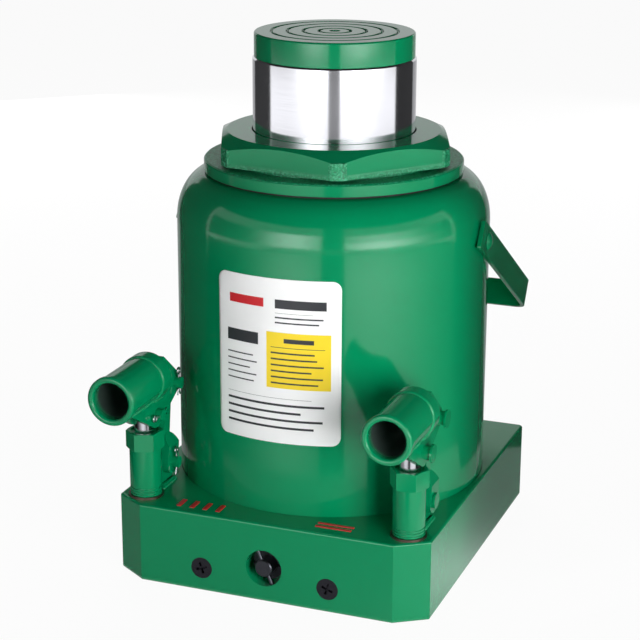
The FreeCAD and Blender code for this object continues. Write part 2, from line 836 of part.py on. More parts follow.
def connecting_link(side):
    """Link with an eye at the top, a narrow waist and a fork over the foot lug."""
    x = side * pump_x
    qy, qz = link_pivot
    ly, lz = foot_pivot
    eye = rounded_plate([(qy, qz, eye_radius), (qy + eye_slot, qz, eye_radius)], x - tongue_half, x + tongue_half)
    share = fork_height / (qz - lz)
    neck_y = ly + (qy - ly) * share
    waist = rounded_plate([(neck_y, lz + fork_height, waist_radius), (qy, qz, waist_radius)],
                          x - waist_half, x + waist_half)
    fork_top = (neck_y, lz + fork_height - fork_crown_radius, fork_crown_radius)
    fork = rounded_plate([(ly, lz, fork_radius), fork_top], x - fork_half, x + fork_half)
    fork = fork.common(fork_front(x))
    body = eye.fuse([waist, fork])
    slot_half = lug_half + side_gap
    slot_top = lz + lug_radius + side_gap + fork_slot_room
    reach = fork_half + past
    slot = box(x - slot_half, x + slot_half, ly - reach, ly + reach, lz - reach, slot_top)
    pin_slot_radius = pin_radius + eye_gap
    pin_slot = rounded_plate([(qy, qz, pin_slot_radius), (qy + eye_slot, qz, pin_slot_radius)],
                             x - reach, x + reach)
    foot_hole = across(pin_radius + running, x - reach, x + reach, foot_pivot)
    return body.cut([slot, pin_slot, foot_hole])


def foot_lug(side):
    """Lug that carries the link, with a flange on the base and a stud into it."""
    x = side * pump_x
    ly, lz = foot_pivot
    low = base_height
    outline = [(ly - lug_foot_half, low, 0.0), (ly + lug_foot_half, low, 0.0), (ly, lz, lug_radius)]
    blade = rounded_plate(outline, x - lug_half, x + lug_half)
    flange = box(x - lug_flange_half, x + lug_flange_half, ly - lug_foot_half, ly + lug_foot_half,
                 low, low + lug_flange_height)
    stud = upright(lug_stud_radius, low - lug_stud_length, low, x, ly)
    reach = lug_half + past
    return blade.fuse([flange, stud]).cut(across(pin_radius, x - reach, x + reach, foot_pivot))


def release_stem():
    """Release valve spindle with a pointed tip and a cross hole near its outer end."""
    start = -base_front - valve_proud
    straight = valve_stem_length - valve_tip_length
    body = inward(valve_stem_radius, 0, valve_z, start, start + straight)
    rim = [e for e in body.Edges if abs(e.CenterOfMass.y - start) < 0.01 and e.BoundBox.YLength < 0.01]
    body = body.makeChamfer(valve_stem_chamfer, rim)
    tip_root = V(0, start + straight, valve_z)
    tip = Part.makeCone(valve_tip_root, valve_tip_end, valve_tip_length, tip_root, Y_AXIS)
    return body.fuse(tip).cut(release_cross_pin())


def release_cross_pin():
    y = -base_front - valve_proud + valve_pin_depth
    pin = cylinder(valve_pin_radius, V(0, y, valve_z - valve_pin_half), Z_AXIS, 2 * valve_pin_half)
    pin.rotate(V(0, y, valve_z), Y_AXIS, -valve_pin_turn_deg)
    return pin


def release_gland():
    """Slotted ring nut at the bottom of the recess, round the spindle."""
    end = -base_front + valve_recess_depth
    start = end - valve_gland_thickness
    ring = inward(valve_gland_radius, 0, valve_z, start, end)
    slot_y = start + valve_gland_slot_depth
    half = valve_gland_slot_width / 2
    reach = valve_gland_radius + past
    slot = box(-reach, reach, start - 1, slot_y, valve_z - half, valve_z + half)
    return ring.cut([inward(valve_stem_radius + running, 0, valve_z, start - 1, end + 1), slot])


def release_ball_y():
    stem_end = -base_front - valve_proud + valve_stem_length
    return stem_end + release_ball_radius + side_gap


def release_ball():
    return Part.makeSphere(release_ball_radius, V(0, release_ball_y(), valve_z))


def front_plugs():
    """Countersunk plugs with cross recesses, one on each side of the release valve."""
    plugs = []
    for side in (1, -1):
        x = side * plug_x
        front = -base_front
        half = plug_recess_span / 2
        thick = plug_recess_width / 2
        deep = front + plug_recess_depth
        level = box(x - half, x + half, front - 1, deep, plug_z - thick, plug_z + thick)
        plumb = box(x - thick, x + thick, front - 1, deep, plug_z - half, plug_z + half)
        cross = level.fuse(plumb)
        cross.rotate(V(x, 0, plug_z), Y_AXIS, plug_turn_deg * side)
        plugs.append(plug_countersink(x).cut(cross))
    return Part.Compound(plugs)


def check_balls():
    balls = []
    for side in (1, -1):
        low = plug_z - plug_shank_radius + check_ball_radius + running
        balls.append(Part.makeSphere(check_ball_radius, V(side * plug_x, check_ball_y, low)))
    return Part.Compound(balls)


def suction_strainers():
    caps = []
    for side in (1, -1):
        x = side * suction_x
        top = base_height + strainer_height
        outer = upright(strainer_radius, base_height, top, x, suction_y)
        hollow = upright(strainer_radius - strainer_wall, base_height - 1, top - strainer_crown, x, suction_y)
        caps.append(outer.cut(hollow))
    return Part.Compound(caps)


def filler_plug():
    """Oil filler plug on the back of the tank."""
    inner = tank_radius - tank_wall - filler_inner_length
    stem = inward(filler_radius, 0, filler_z, inner, tank_radius + 1)
    head = inward(filler_head_radius, 0, filler_z, tank_radius - tank_wall, tank_radius + filler_head_height)
    rim = [e for e in head.Edges if e.CenterOfMass.y > tank_radius + filler_head_height - 0.01]
    reach = filler_head_radius + past
    head = head.makeFillet(filler_head_round, rim).cut(upright(tank_radius, filler_z - reach, filler_z + reach))
    return stem.fuse(head)


def bail_bosses():
    """Welded bosses on the tank's sides, each with a pin and a domed head."""
    bosses = []
    for side in (1, -1):
        pivot = (0, bail_z)
        reach = bail_boss_radius + past
        seat = bail_inner_half - side_gap
        outer = bail_inner_half + bail_thickness + side_gap
        boss = across(bail_boss_radius, side * (tank_radius - bail_boss_depth), side * seat, pivot)
        boss = boss.cut(upright(tank_radius, bail_z - reach, bail_z + reach))
        pin = across(bail_pin_radius, side * seat, side * outer, pivot)
        sphere_radius = (bail_head_radius ** 2 + bail_head_height ** 2) / (2 * bail_head_height)
        centre_x = outer + bail_head_height - sphere_radius
        dome = Part.makeSphere(sphere_radius, V(side * centre_x, 0, bail_z))
        dome = dome.common(across(bail_head_radius + 1, side * outer, side * (outer + past), pivot))
        bosses.append(boss.fuse([pin, dome]))
    return Part.Compound(bosses)


def bail_strap():
    """Flat strap bent to a U, drilled at its ends; it lies back against the tank."""
    inner = bail_inner_half
    outer = inner + bail_thickness
    far_in = bail_reach
    far_out = far_in + bail_thickness
    half = bail_width / 2

    def sheet(half_x, far, radius):
        blank = box(-half_x, half_x, -bail_tail, far, -half, half)
        corners = []
        for edge in blank.Edges:
            middle = edge.CenterOfMass
            if abs(abs(middle.x) - half_x) < 0.01 and abs(middle.y - far) < 0.01 and abs(middle.z) < 0.01:
                corners.append(edge)
        return blank.makeFillet(radius, corners)

    core = sheet(inner, far_in, bail_bend)
    core = core.fuse(box(-inner, inner, -bail_tail - past, -bail_tail + 1, -half - 1, half + 1))
    strap = sheet(outer, far_out, bail_bend + bail_thickness).cut(core)
    ends = []
    for edge in strap.Edges:
        middle = edge.CenterOfMass
        if abs(middle.y + bail_tail) < 0.01 and abs(abs(middle.z) - half) < 0.01:
            ends.append(edge)
    strap = strap.makeFillet(bail_end_round, ends)
    strap = strap.cut(across(bail_pin_radius + running, -outer - past, outer + past, (0, 0)))
    strap.rotate(V(0, 0, 0), X_AXIS, -bail_rest_deg)
    strap.translate(V(0, 0, bail_z))
    return strap


def pieces():
    """Every node of the jack, by name."""
    nodes = {
        "base_block": base_block(),
        "reservoir_shell": reservoir_shell(),
        "reservoir_base_seal": reservoir_base_seal(),
        "reservoir_top_seal": reservoir_top_seal(),
        "main_cylinder": main_cylinder(),
        "cylinder_foot_ring": cylinder_foot_ring(),
        "top_nut": top_nut(),
        "guide_bush": guide_bush(),
        "wiper_ring": wiper_ring(),
        "ram": ram(),
        "piston": piston(),
        "piston_cup_seal": piston_cup_seal(),
        "piston_guide_ring": piston_guide_ring(),
        "saddle": saddle(),
        "release_stem": release_stem(),
        "release_cross_pin": release_cross_pin(),
        "release_gland": release_gland(),
        "release_ball": release_ball(),
        "front_plugs": front_plugs(),
        "check_balls": check_balls(),
        "suction_strainers": suction_strainers(),
        "filler_plug": filler_plug(),
        "bail_bosses": bail_bosses(),
        "bail_strap": bail_strap(),
    }
    for name, side in (("left", -1), ("right", 1)):
        nodes[name + "_pump_body"] = pump_body(side)
        nodes[name + "_pump_washer"] = pump_washer(side)
        nodes[name + "_plunger_packing"] = plunger_packing(side)
        nodes[name + "_gland_nut"] = gland_nut(side)
        nodes[name + "_plunger"] = plunger(side)
        nodes[name + "_handle_socket"] = handle_socket(side)
        nodes[name + "_plunger_pin"] = plunger_pin(side)
        nodes[name + "_link_pin"] = link_pin(side)
        nodes[name + "_socket_split_pins"] = socket_split_pins(side)
        nodes[name + "_connecting_link"] = connecting_link(side)
        nodes[name + "_foot_lug"] = foot_lug(side)
        nodes[name + "_foot_pin"] = foot_pin_drilled(side)
        nodes[name + "_foot_split_pin"] = foot_split_pin(side)
    return nodes


os.makedirs("parts", exist_ok=True)
for node, shape in pieces().items():
    shape.exportStep("parts/" + node + ".step")
    print(node, len(shape.Solids), "solids", round(shape.Volume / 1000, 2), "cm3", shape.isValid())
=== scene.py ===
# %% [markdown]
# # Dressing a hydraulic bottle jack
# The jack is a steel block that carries an oil tank, a chromed ram and two hand pumps. Its pieces
# arrive as exact solids, already in their places. This lesson gives them what a solid lacks: rounded
# paint edges, finishes, welds, a plate and the light of a small product studio.
# The frame comes first, because every later piece rides on one of its bodies.

# %% Load the frame
import json
import math

import bmesh
import bpy
from mathutils import Matrix, Vector

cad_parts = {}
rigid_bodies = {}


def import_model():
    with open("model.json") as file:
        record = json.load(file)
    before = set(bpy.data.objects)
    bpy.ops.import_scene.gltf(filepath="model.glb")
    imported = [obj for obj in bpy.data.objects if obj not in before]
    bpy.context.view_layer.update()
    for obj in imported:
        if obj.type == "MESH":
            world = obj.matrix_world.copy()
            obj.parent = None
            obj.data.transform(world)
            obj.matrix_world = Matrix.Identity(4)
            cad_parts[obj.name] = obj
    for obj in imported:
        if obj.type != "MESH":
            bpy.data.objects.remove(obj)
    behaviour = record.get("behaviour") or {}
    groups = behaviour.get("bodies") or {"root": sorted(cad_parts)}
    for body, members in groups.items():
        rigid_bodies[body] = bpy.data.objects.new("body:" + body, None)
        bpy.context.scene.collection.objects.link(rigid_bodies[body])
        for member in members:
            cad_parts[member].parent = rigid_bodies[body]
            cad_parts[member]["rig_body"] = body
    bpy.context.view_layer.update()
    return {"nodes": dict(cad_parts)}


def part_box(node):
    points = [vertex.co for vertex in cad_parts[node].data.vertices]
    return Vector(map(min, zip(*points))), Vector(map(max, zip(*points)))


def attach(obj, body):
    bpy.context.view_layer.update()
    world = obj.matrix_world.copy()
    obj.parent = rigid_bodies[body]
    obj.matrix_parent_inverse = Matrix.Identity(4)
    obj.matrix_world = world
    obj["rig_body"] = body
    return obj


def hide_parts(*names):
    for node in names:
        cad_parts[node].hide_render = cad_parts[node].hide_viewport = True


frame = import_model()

MM = 0.001

# %% [markdown]
# ## The camera
# The picture was taken with a long lens from the front right, a little above the jack. A camera could
# be turned by three angles, but those are hard to read. Here it has a place, a direction to look along
# and a small roll, and the three axes of its matrix are worked out from them.

# %% Place the camera
camera_place = Vector((426.5, -1146.1, 542.5)) * MM
looks_along = Vector((-0.33924, 0.89159, -0.29998)).normalized()
camera_roll = 0.0047
lens_length = 103.2
sensor_width = 36.0


def add_camera():
    """A long-lens camera; its columns are right, up and backwards."""
    level_right = looks_along.cross(Vector((0, 0, 1))).normalized()
    level_up = level_right.cross(looks_along)
    right = level_right * math.cos(camera_roll) + level_up * math.sin(camera_roll)
    up = right.cross(looks_along)
    data = bpy.data.cameras.new("studio_camera")
    data.lens = lens_length
    data.sensor_width = sensor_width
    camera = bpy.data.objects.new("studio_camera", data)
    bpy.context.scene.collection.objects.link(camera)
    turn = Matrix((right, up, -looks_along)).transposed().to_4x4()
    camera.matrix_world = Matrix.Translation(camera_place) @ turn
    bpy.context.scene.camera = camera


add_camera()
camera_bearing = math.atan2(camera_place.y, camera_place.x)
print("camera stands at", round(math.degrees(camera_bearing), 1), "degrees round the jack")

# %% [markdown]
# ## Shader maths as Python
# A material is a tree of nodes. Written node by node, even a stripe takes many lines, so a small class
# wraps one socket and overloads the operators. `1 - mask` then adds its own Math node. Every other
# node comes from one method, which sets the node's settings before the values of its sockets.

# %% The socket class and the material class
class Wire:
    """One output socket of a material, written into sums and products like a number."""

    def __init__(self, finish, socket):
        self.finish = finish
        self.socket = socket

    def maths(self, operation, first, second):
        return self.finish.node("ShaderNodeMath", {"operation": operation}, {0: first, 1: second})

    def __add__(self, other):
        return self.maths("ADD", self, other)

    def __sub__(self, other):
        return self.maths("SUBTRACT", self, other)

    def __rsub__(self, other):
        return self.maths("SUBTRACT", other, self)

    def __mul__(self, other):
        return self.maths("MULTIPLY", self, other)

    def __truediv__(self, other):
        return self.maths("DIVIDE", self, other)

    def __gt__(self, other):
        return self.maths("GREATER_THAN", self, other)

    def __lt__(self, other):
        return self.maths("LESS_THAN", self, other)

    __radd__ = __add__
    __rmul__ = __mul__

    def size(self):
        return self.maths("ABSOLUTE", self, 0.0)

    def root(self):
        return self.maths("SQRT", self, 0.0)

    def wave(self):
        return self.maths("SINE", self, 0.0)

    def part(self):
        return self.maths("FRACT", self, 0.0)

    def clipped(self):
        return self.finish.node("ShaderNodeClamp", {}, {"Value": self})


class Finish:
    """A material built from expressions, ending in one Principled shader."""

    def __init__(self, name):
        self.material = bpy.data.materials.new(name)
        self.material.use_nodes = True
        self.tree = self.material.node_tree
        self.tree.nodes.clear()
        self.place = self.node("ShaderNodeTexCoord", {}, {}, "Object")

    def node(self, kind, settings, values, output=0):
        """Adds a node: its settings first, then its sockets' values or links."""
        made = self.tree.nodes.new(kind)
        for key, value in settings.items():
            setattr(made, key, value)
        for key, value in values.items():
            if isinstance(value, Wire):
                self.tree.links.new(value.socket, made.inputs[key])
            else:
                made.inputs[key].default_value = value
        return Wire(self, made.outputs[output])

    def axes(self):
        """Object coordinates in millimetres, one wire each."""
        split = self.node("ShaderNodeSeparateXYZ", {}, {0: self.place})
        outputs = split.socket.node.outputs
        return [Wire(self, outputs[name]) * (1 / MM) for name in ("X", "Y", "Z")]

    def noise(self, per_mm, detail=2.0, stretch=(1, 1, 1)):
        """Noise between 0 and 1 with that many features in a millimetre."""
        scaled = self.node("ShaderNodeMapping", {}, {"Vector": self.place, "Scale": stretch})
        values = {"Vector": scaled, "Scale": per_mm / MM, "Detail": detail}
        return self.node("ShaderNodeTexNoise", {}, values, "Fac")

    def blend(self, share, first, second):
        """Mixes two colours; a share of 0 gives the first."""
        made = self.tree.nodes.new("ShaderNodeMix")
        made.data_type = "RGBA"
        for key, value in ((0, share), (6, first), (7, second)):
            if isinstance(value, Wire):
                self.tree.links.new(value.socket, made.inputs[key])
            else:
                made.inputs[key].default_value = value
        return Wire(self, made.outputs[2])

    def bump(self, height, depth_mm):
        """A normal from a height between 0 and 1 that stands for that many millimetres."""
        values = {"Height": height, "Distance": depth_mm * MM, "Strength": 1.0}
        return self.node("ShaderNodeBump", {}, values)

    def close(self, values):
        """Ends the tree and returns the material."""
        shader = self.node("ShaderNodeBsdfPrincipled", {}, values)
        output = self.tree.nodes.new("ShaderNodeOutputMaterial")
        self.tree.links.new(shader.socket, output.inputs["Surface"])
        return self.material


def colour(red, green, blue):
    """A colour as a paint chart gives it, from 0 to 255, turned into the linear light of a shader."""
    linear = []
    for part in (red, green, blue):
        share = part / 255
        linear.append(share / 12.92 if share <= 0.04045 else ((share + 0.055) / 1.055) ** 2.4)
    return (*linear, 1.0)


# %% [markdown]
# ## Green enamel
# The jack is sprayed in a thick glossy enamel. Sprayed enamel is never a mirror: it dries with a fine
# orange peel, and a wider waviness bends its reflections. One noise could stand for both, but they
# differ tenfold in size, so each has its own and both go into one bump. The colour drifts a little where
# the coat is thicker. The nut has coarse, speckled paint; the sockets' bores are bare steel, with
# painted shade that darkens them down the bore. So the function also takes a mask for either.

# %% Enamel
enamel_green = colour(0, 132, 84)
enamel_thin = colour(2, 142, 92)
speckle_bright = colour(86, 186, 148)
speckle_dark = colour(0, 78, 50)
# The socket bores: bare steel, with painted shade that darkens them further down the bore.
bore_steel_and_painted_shade = colour(50, 62, 58)
peel_depth = 0.010
wave_depth = 0.03
speckle_depth = 0.5
bright_above = 0.56
dark_below = 0.43


def enamel(name="green_enamel", coarse=None, bore=None):
    """Glossy green paint. The two masks are functions that take the finish and give a wire."""
    paint = Finish(name)
    drift = paint.noise(per_mm=0.02, detail=3.0)
    peel = paint.noise(per_mm=0.55)
    wave = paint.noise(per_mm=0.045, detail=1.0)
    height = peel * (peel_depth / wave_depth) + wave
    tone = paint.blend(drift * 0.5, enamel_green, enamel_thin)
    roughness = 0.08 + 0.06 * drift
    if coarse:
        share = coarse(paint)
        grit = paint.noise(per_mm=0.75, detail=4.0)
        height = height + share * grit * (speckle_depth / wave_depth)
        roughness = roughness + 0.2 * share
        tone = paint.blend(share * (grit > bright_above) * 0.5, tone, speckle_bright)
        tone = paint.blend(share * (grit < dark_below) * 0.7, tone, speckle_dark)
    # Inside the sockets: bare steel, and painted shade that deepens down the bore.
    if bore:
        share = bore(paint)
        tone = paint.blend(share, tone, bore_steel_and_painted_shade)
        roughness = roughness + 0.3 * share
    return paint.close({
        "Base Color": tone,
        "Roughness": roughness,
        "Specular IOR Level": 0.5,
        "Normal": paint.bump(height, wave_depth),
    })


enamel_paint = enamel()
print("enamel has", len(enamel_paint.node_tree.nodes), "nodes")

# %% [markdown]
# ## Chrome, polished steel and the small metals
# The ram is ground round and round before it is chromed, so its fine lines run along the
# circumference and blur a reflection upwards, not sideways. An image of lines would need a map for each
# cylinder. Noise that is squeezed to thin flat layers needs none, and it fits every ram and plunger. The
# small parts have no direction, so a plain grain does for them.

# %% Metals
def ground_metal(name, tint, dark, lines_per_mm, roughness, depth_mm):
    """Bright metal with fine grinding lines round the Z axis."""
    metal = Finish(name)
    lines = metal.noise(lines_per_mm, detail=3.0, stretch=(0.01, 0.01, 1.0))
    clouds = metal.noise(per_mm=0.05)
    return metal.close({
        "Base Color": metal.blend(lines * 0.5 + clouds * 0.3, tint, dark),
        "Metallic": 1.0,
        "Roughness": roughness + 0.06 * lines,
        "Normal": metal.bump(lines, depth_mm),
    })


def plain_metal(name, tint, dark, roughness, grain_per_mm=1.2, metallic=1.0):
    """Small metal parts: a fine grain in colour and gloss."""
    metal = Finish(name)
    grain = metal.noise(grain_per_mm, detail=3.0)
    clouds = metal.noise(per_mm=0.12)
    return metal.close({
        "Base Color": metal.blend(grain * 0.5 + clouds * 0.4, tint, dark),
        "Metallic": metallic,
        "Roughness": roughness + 0.12 * clouds,
        "Normal": metal.bump(grain, 0.01),
    })


ram_light, ram_dark = colour(250, 250, 253), colour(226, 227, 233)
plunger_light, plunger_dark = colour(236, 236, 240), colour(200, 200, 208)
chrome_skin = ground_metal("ram_chrome", ram_light, ram_dark, 4.0, 0.09, 0.002)
plunger_steel = ground_metal("plunger_steel", plunger_light, plunger_dark, 6.0, 0.12, 0.003)
zinc_wire = plain_metal("zinc_wire", colour(226, 226, 230), colour(176, 178, 186), 0.2)
black_oxide = plain_metal("black_oxide", colour(74, 74, 80), colour(46, 46, 52), 0.32)
valve_steel = plain_metal("valve_steel", colour(96, 98, 104), colour(58, 60, 66), 0.3)
washer_copper = plain_metal("washer_copper", colour(140, 108, 98), colour(72, 82, 72), 0.35)
bush_bronze = plain_metal("bush_bronze", colour(190, 150, 92), colour(140, 104, 60), 0.35)
bare_steel = plain_metal("bare_steel", colour(190, 192, 198), colour(140, 142, 150), 0.3)
seal_rubber = plain_metal("seal_rubber", colour(30, 30, 32), colour(20, 20, 22), 0.6, 2.0, 0.0)

# %% [markdown]
# ## A finish for every node
# Each node arrives with a slot that says what it is made of. A table from slot to finish dresses them
# all at once. Four nodes look different from the rest of their slot, so they get a metal of their own.

# %% Give every node its finish
slot_finish = {
    "green_enamel": enamel_paint,
    "chrome": chrome_skin,
    "machined_steel": bare_steel,
    "dark_steel": black_oxide,
    "bright_zinc": zinc_wire,
    "copper": washer_copper,
    "bronze": bush_bronze,
    "black_rubber": seal_rubber,
}
node_slot = {}
for name, node in frame["nodes"].items():
    node_slot[name] = node.data.materials[0].name.split(".")[0]
    node.data.materials[0] = slot_finish[node_slot[name]]
node_body = {name: node["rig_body"] for name, node in frame["nodes"].items()}
for name in ("left_plunger", "right_plunger"):
    frame["nodes"][name].data.materials[0] = plunger_steel
for name in ("release_stem", "release_cross_pin"):
    frame["nodes"][name].data.materials[0] = valve_steel
print("finished nodes:", len(node_slot))

# %% [markdown]
# ## Paint that differs from piece to piece
# The top nut is rough-machined and sprayed last, so its paint stays coarse along the foot of the
# hexagon and on its turned corners. The sockets are sprayed from outside only, so their bores stay bare
# steel, and painted shade darkens them further down. Both follow from where a point lies, so both are
# masks on Object coordinates.

# %% Masks for the nut and the sockets
nut_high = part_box("top_nut")[1] / MM
socket_low, socket_high = [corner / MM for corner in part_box("right_handle_socket")]
tube_axis_x = (socket_low[0] + socket_high[0]) / 2
tube_rise = 82.5
tube_axis_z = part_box("base_block")[1][2] / MM + tube_rise
tube_bore = 12.4
bore_length = 48.0
bore_slack = 0.3
floor_slack = 0.2
bore_darkens_from = 2.0
shade_fade = 7.0
hexagon_height = 17.2
hexagon_foot = nut_high[2] - hexagon_height
corner_reach = 84.0
corner_share = 0.8
coarse_above = 3.4
coarse_below = 2.5
coarse_fade = 3.0


def nut_coarse(paint):
    """1 along the hexagon's foot and nearly 1 on its corners, 0 on its faces."""
    x, y, z = paint.axes()
    away = (x * x + y * y).root()
    fading = ((hexagon_foot + coarse_above - z) / coarse_fade).clipped()
    foot = fading * (z > hexagon_foot - coarse_below)
    corner = (away > corner_reach) * (z > hexagon_foot)
    return (foot + corner * corner_share).clipped()


def bore_steel_and_shade_mask(paint):
    """Bare steel with painted shade: 0 at the mouth and 1 from one centimetre down the bore to its end.
    """
    x, y, z = paint.axes()
    side = x.size() - tube_axis_x
    rise = z - tube_axis_z
    away = (side * side + rise * rise).root()
    depth = ((y - (socket_low[1] + bore_darkens_from)) / shade_fade).clipped()
    return (away < tube_bore + bore_slack) * depth * (y < socket_low[1] + bore_length + floor_slack)


node_finish = {name: slot_finish[slot] for name, slot in node_slot.items()}
node_finish["top_nut"] = enamel("nut_enamel", coarse=nut_coarse)
for name in ("left_handle_socket", "right_handle_socket"):
    node_finish[name] = enamel(name + "_enamel", bore=bore_steel_and_shade_mask)
print("nut reach in mm:", round(nut_high[0], 1))
print("tube axis in mm:", round(tube_axis_x, 1), round(tube_axis_z, 1))

# %% [markdown]
# ## Rounded paint edges
# A solid has knife edges. Paint pulls back from an edge and rounds it, and the thin bright line along
# it is what makes a painted part look real. Each painted node is therefore copied, its loose
# triangles are merged, its flat faces are joined, and a narrow bevel goes along the sharp edges.
# The exact node is hidden and stays in charge of collision.

# %% Rounded copies of the painted nodes
merge_distance = 1e-6
flat_tolerance_deg = 0.4
flat_face_weight = 80
bevel_steps = 3
usual_crease_deg = 28
shallow_crease_deg = {"top_nut": 12}


def place_piece(piece, body, nodes=()):
    """Rides a finished piece on its body and hides the nodes that it stands for."""
    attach(piece, body)
    if nodes:
        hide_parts(*nodes)
    return piece


def settled(piece):
    """Turns a piece's modifiers into plain mesh."""
    view = bpy.context.evaluated_depsgraph_get()
    mesh = bpy.data.meshes.new_from_object(piece.evaluated_get(view), depsgraph=view)
    piece.modifiers.clear()
    piece.data = mesh
    return piece


def add_piece(name, mesh):
    piece = bpy.data.objects.new(name, mesh)
    bpy.context.scene.collection.objects.link(piece)
    return piece


def rounded_copy(node, name, width_mm, crease_deg):
    """A merged copy of a node with a narrow bevel along its sharp edges."""
    piece = add_piece(name, frame["nodes"][node].data.copy())
    form = bmesh.new()
    form.from_mesh(piece.data)
    bmesh.ops.remove_doubles(form, verts=form.verts, dist=merge_distance)
    flat = math.radians(flat_tolerance_deg)
    bmesh.ops.dissolve_limit(form, angle_limit=flat, verts=form.verts, edges=form.edges)
    clean = bpy.data.meshes.new(name)
    form.to_mesh(clean)
    form.free()
    clean.materials.append(node_finish[node])
    clean.shade_smooth()
    piece.data = clean
    bevel = piece.modifiers.new("paint edge", "BEVEL")
    bevel.width = width_mm * MM
    bevel.segments = bevel_steps
    bevel.limit_method = "ANGLE"
    bevel.angle_limit = math.radians(crease_deg)
    even = piece.modifiers.new("flat faces stay flat", "WEIGHTED_NORMAL")
    even.mode = "FACE_AREA"
    even.weight = flat_face_weight
    settled(piece)
    return place_piece(piece, node_body[node], [node])


painted = {
    "base_block": 1.0,
    "top_nut": 0.5,
    "saddle": 0.45,
    "bail_strap": 0.5,
}
painted_twice = {
    "handle_socket": 0.4,
    "gland_nut": 0.4,
    "connecting_link": 0.4,
    "foot_lug": 0.4,
    "pump_body": 0.25,
    "plunger_pin": 0.3,
    "link_pin": 0.3,
    "foot_pin": 0.3,
}
for side in ("left", "right"):
    for part, width in painted_twice.items():
        painted[side + "_" + part] = width
for node, width in painted.items():
    crease_deg = shallow_crease_deg.get(node, usual_crease_deg)
    piece = rounded_copy(node, node + "_painted", width, crease_deg)
    print(node, "now has", len(piece.data.polygons), "faces")

# %% [markdown]
# ## Trees that repeat a form
# Weld ripples and raised bars repeat one small form along a row of points. Geometry Nodes do that: a
# small class builds the tree, with named inputs for its sizes, and ends it in real mesh with a finish.

# %% A class for geometry trees
class Pattern:
    """A Geometry Nodes tree; the points come in as a mesh and the finished forms go out."""

    def __init__(self, name, inputs):
        self.tree = bpy.data.node_groups.new(name, "GeometryNodeTree")
        sockets = self.tree.interface
        sockets.new_socket("Geometry", in_out="INPUT", socket_type="NodeSocketGeometry")
        sockets.new_socket("Geometry", in_out="OUTPUT", socket_type="NodeSocketGeometry")
        self.names = {}
        for label, kind in inputs.items():
            self.names[label] = sockets.new_socket(label, in_out="INPUT", socket_type=kind).identifier
        self.entry = self.tree.nodes.new("NodeGroupInput").outputs

    def node(self, kind, settings, values, output=0):
        made = self.tree.nodes.new(kind)
        for key, value in settings.items():
            setattr(made, key, value)
        for key, value in values.items():
            if isinstance(value, bpy.types.NodeSocket):
                self.tree.links.new(value, made.inputs[key])
            else:
                made.inputs[key].default_value = value
        return made.outputs[output]

    def end(self, instances, material):
        real = self.node("GeometryNodeRealizeInstances", {}, {0: instances})
        coated = self.node("GeometryNodeSetMaterial", {}, {"Geometry": real, "Material": material})
        leave = self.tree.nodes.new("NodeGroupOutput")
        self.tree.links.new(coated, leave.inputs[0])

    def grow(self, name, points, sizes):
        """Puts the tree on a mesh of points and turns the result into plain mesh."""
        mesh = bpy.data.meshes.new(name)
        mesh.from_pydata([Vector(point) * MM for point in points], [], [])
        piece = add_piece(name, mesh)
        modifier = piece.modifiers.new("pattern", "NODES")
        modifier.node_group = self.tree
        for label, value in sizes.items():
            modifier[self.names[label]] = value
        return settled(piece)


# %% [markdown]
# ## Weld beads
# The cheek plates are welded to the socket's tube, and each lug's flange to the base. A hand-laid bead
# is a row of overlapping ripples that differ a little, and the enamel runs over them. A small round
# form on each point of a path, with a random size from a fixed seed, gives that.

# %% Beads on the sockets and the lugs
weld = Pattern("weld_bead", {"Bead": "NodeSocketFloat", "Seed": "NodeSocketInt"})
drop = weld.node("GeometryNodeMeshIcoSphere", {}, {"Radius": weld.entry["Bead"], "Subdivisions": 2})
smallest, largest = 0.8, 1.2
spread_inputs = {2: smallest, 3: largest, "Seed": weld.entry["Seed"]}
spread = weld.node("FunctionNodeRandomValue", {"data_type": "FLOAT"}, spread_inputs, 1)
smooth_drop = weld.node("GeometryNodeSetShadeSmooth", {}, {0: drop})
row_inputs = {"Points": weld.entry["Geometry"], "Instance": smooth_drop, "Scale": spread}
weld.end(weld.node("GeometryNodeInstanceOnPoints", {}, row_inputs), enamel_paint)

base_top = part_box("base_block")[1][2] / MM
cheek_outer = 9.5
cheek_start = -146.5
cheek_beads = 31
bead_pitch = 1.5
bead_out = 0.2
bead_up = 0.3
tube_radius = 15.6
collar_radius = 16.7
collar_start = -112.5
flange_half_x = 7.2
flange_half_y = 9.7
side_gaps = 11
end_gaps = 9
socket_bead = {"Bead": 1.15 * MM, "Seed": 3}
lug_bead = {"Bead": 1.25 * MM, "Seed": 5}


def cheek_path(x_middle):
    """Points along both outer joints between the cheek plates and the tube."""
    points = []
    for hand in (-1, 1):
        for i in range(cheek_beads):
            y = cheek_start + bead_pitch * i
            tube = collar_radius if y > collar_start else tube_radius
            z = tube_axis_z - math.sqrt(tube ** 2 - cheek_outer ** 2)
            points.append((x_middle + hand * (cheek_outer + bead_out), y, z))
    return points


def lug_path(x_middle, y_middle):
    """Points round a lug's flange: the two long sides first, then the two short ones."""
    z = base_top + bead_up
    points = []
    for i in range(side_gaps + 1):
        y = y_middle - flange_half_y + 2 * flange_half_y * i / side_gaps
        points.append((x_middle - flange_half_x, y, z))
        points.append((x_middle + flange_half_x, y, z))
    for i in range(1, end_gaps):
        x = x_middle - flange_half_x + 2 * flange_half_x * i / end_gaps
        points.append((x, y_middle - flange_half_y, z))
        points.append((x, y_middle + flange_half_y, z))
    return points


for sign, side in ((-1, "left"), (1, "right")):
    lug_low, lug_high = [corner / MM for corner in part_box(side + "_foot_lug")]
    lug_y = (lug_low[1] + lug_high[1]) / 2
    bead = weld.grow(side + "_socket_weld", cheek_path(sign * tube_axis_x), socket_bead)
    place_piece(bead, node_body[side + "_handle_socket"])
    bead = weld.grow(side + "_lug_weld", lug_path(sign * tube_axis_x, lug_y), lug_bead)
    place_piece(bead, node_body[side + "_foot_lug"])
print("last weld has", len(bead.data.polygons), "faces")

